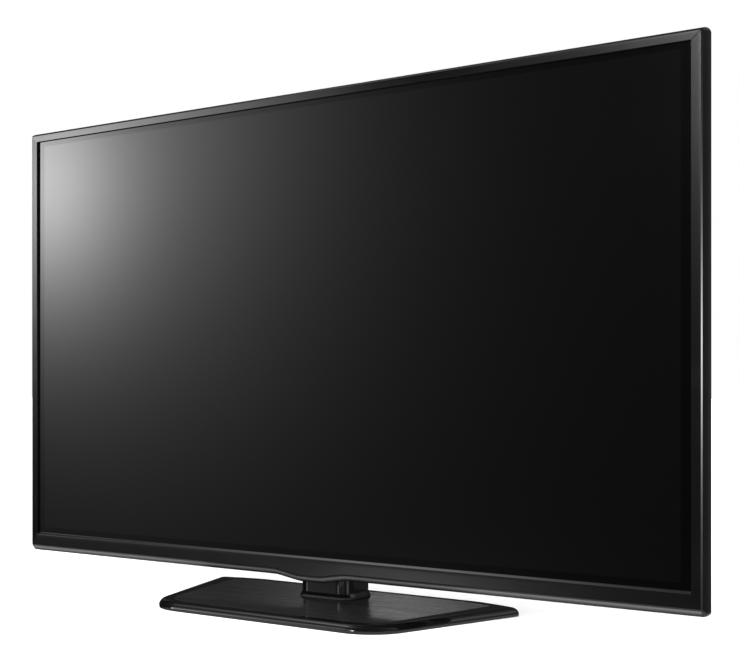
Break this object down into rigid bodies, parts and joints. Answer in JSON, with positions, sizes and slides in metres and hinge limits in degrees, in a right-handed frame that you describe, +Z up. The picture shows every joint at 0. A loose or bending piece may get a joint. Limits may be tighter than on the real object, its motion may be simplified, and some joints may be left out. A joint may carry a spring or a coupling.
{
  "type": "flat screen television",
  "caption": "Large flat screen television with a thin dark bezel, a shallow chin and a low swivel stand with a trapezoid base.",
  "frame": {"origin": "centre of the base, on the surface that the feet stand on", "axes": "+X to the viewer's right along the screen, +Y out of the back of the set, +Z up; the screen faces -Y"},
  "size_m": [1.179, 0.2664, 0.7465],
  "materials": {
    "gloss_black": "piano gloss",
    "strip_grey": "satin, light grey slope",
    "smoked_window": "clear smoked gloss",
    "light_lens": "clear gloss",
    "stick_plastic": "fine texture",
    "filter_glass": "polished, dark coating",
    "panel_glass": "polished",
    "foam_black": "foam",
    "graphite_sheet": "soft sheet",
    "chassis_aluminium": "mill finish",
    "zinc_steel": "zinc plated",
    "board_green": "solder mask",
    "capacitor_sleeve": "shrink sleeve",
    "ferrite": "ground",
    "chip_black": "moulded",
    "ribbon_amber": "film",
    "cover_black": "fine leather grain",
    "screw_black": "black zinc",
    "terminal_black": "satin",
    "socket_steel": "nickel plated",
    "socket_black": "moulded",
    "jack_nickel": "nickel plated",
    "blade_brass": "plated",
    "speaker_black": "moulded",
    "cone_grey": "pulp",
    "base_gloss": "piano gloss",
    "base_brushed": "dark, brushed along X",
    "plate_steel": "black paint",
    "foot_rubber": "matt",
    "acetal_white": "moulded",
    "neck_gloss": "piano gloss"
  },
  "bodies": {
    "base": {"base_cover": "base_gloss", "base_inset": "base_brushed", "base_plate": "plate_steel", "base_feet": "foot_rubber", "base_screws": "zinc_steel", "swivel_bush": "acetal_white", "swivel_disc": "acetal_white"},
    "set": {"front_bezel": "gloss_black", "lower_strip": "strip_grey", "sensor_window": "smoked_window", "standby_light": "light_lens", "sensor_board": "board_green", "joystick_housing": "stick_plastic", "filter_glass": "filter_glass", "filter_gasket": "foam_black", "panel_front_glass": "panel_glass", "panel_rear_glass": "panel_glass", "thermal_sheet": "graphite_sheet", "chassis_plate": "chassis_aluminium", "filter_clamps": "zinc_steel", "chassis_ribs": "zinc_steel", "scan_board": "board_green", "y_sustain_board": "board_green", "z_sustain_board": "board_green", "power_board": "board_green", "main_board": "board_green", "control_board": "board_green", "address_boards": "board_green", "board_standoffs": "chassis_aluminium", "heat_sinks": "chassis_aluminium", "capacitors": "capacitor_sleeve", "coils": "ferrite", "chips": "chip_black", "ribbon_cables": "ribbon_amber", "rear_cover": "cover_black", "cover_pillars": "zinc_steel", "cover_screws": "screw_black", "wall_mount_inserts": "zinc_steel", "terminal_plate": "terminal_black", "hdmi_sockets": "socket_steel", "data_sockets": "socket_black", "audio_video_jacks": "jack_nickel", "aerial_socket": "jack_nickel", "mains_inlet": "socket_black", "inlet_blades": "blade_brass", "speaker_boxes": "speaker_black", "speaker_cones": "cone_grey", "speaker_pads": "foam_black", "swivel_shaft": "zinc_steel", "wave_washer": "zinc_steel", "retaining_ring": "zinc_steel", "neck_front_cover": "neck_gloss", "neck_rear_cover": "neck_gloss", "neck_collar": "neck_gloss", "neck_core": "plate_steel", "stand_bracket": "zinc_steel", "neck_screws": "zinc_steel"},
    "joystick_plunger": {"joystick_slider": "stick_plastic"},
    "joystick_rocker": {"joystick_cradle": "acetal_white"},
    "joystick_knob": {"joystick_cap": "stick_plastic"}
  },
  "joints": [
    {"name": "stand_swivel", "type": "hinge", "parent": "base", "child": "set", "pos_m": [0, 0.054, 0], "axis": [0, 0, 1], "range_deg": [-20, 20]},
    {"name": "joystick_press", "type": "slide", "parent": "set", "child": "joystick_plunger", "axis": [0, 0, 1], "range_m": [0, 0.0008], "stiffness_N_per_m": 1500},
    {"name": "joystick_tilt_front_back", "type": "hinge", "parent": "joystick_plunger", "child": "joystick_rocker", "pos_m": [0, 0.004, 0.05], "axis": [1, 0, 0], "range_deg": [-8, 8], "stiffness_Nm_per_rad": 0.25},
    {"name": "joystick_tilt_side", "type": "hinge", "parent": "joystick_rocker", "child": "joystick_knob", "pos_m": [0, 0.004, 0.05], "axis": [0, 1, 0], "range_deg": [-8, 8], "stiffness_Nm_per_rad": 0.25}
  ]
}
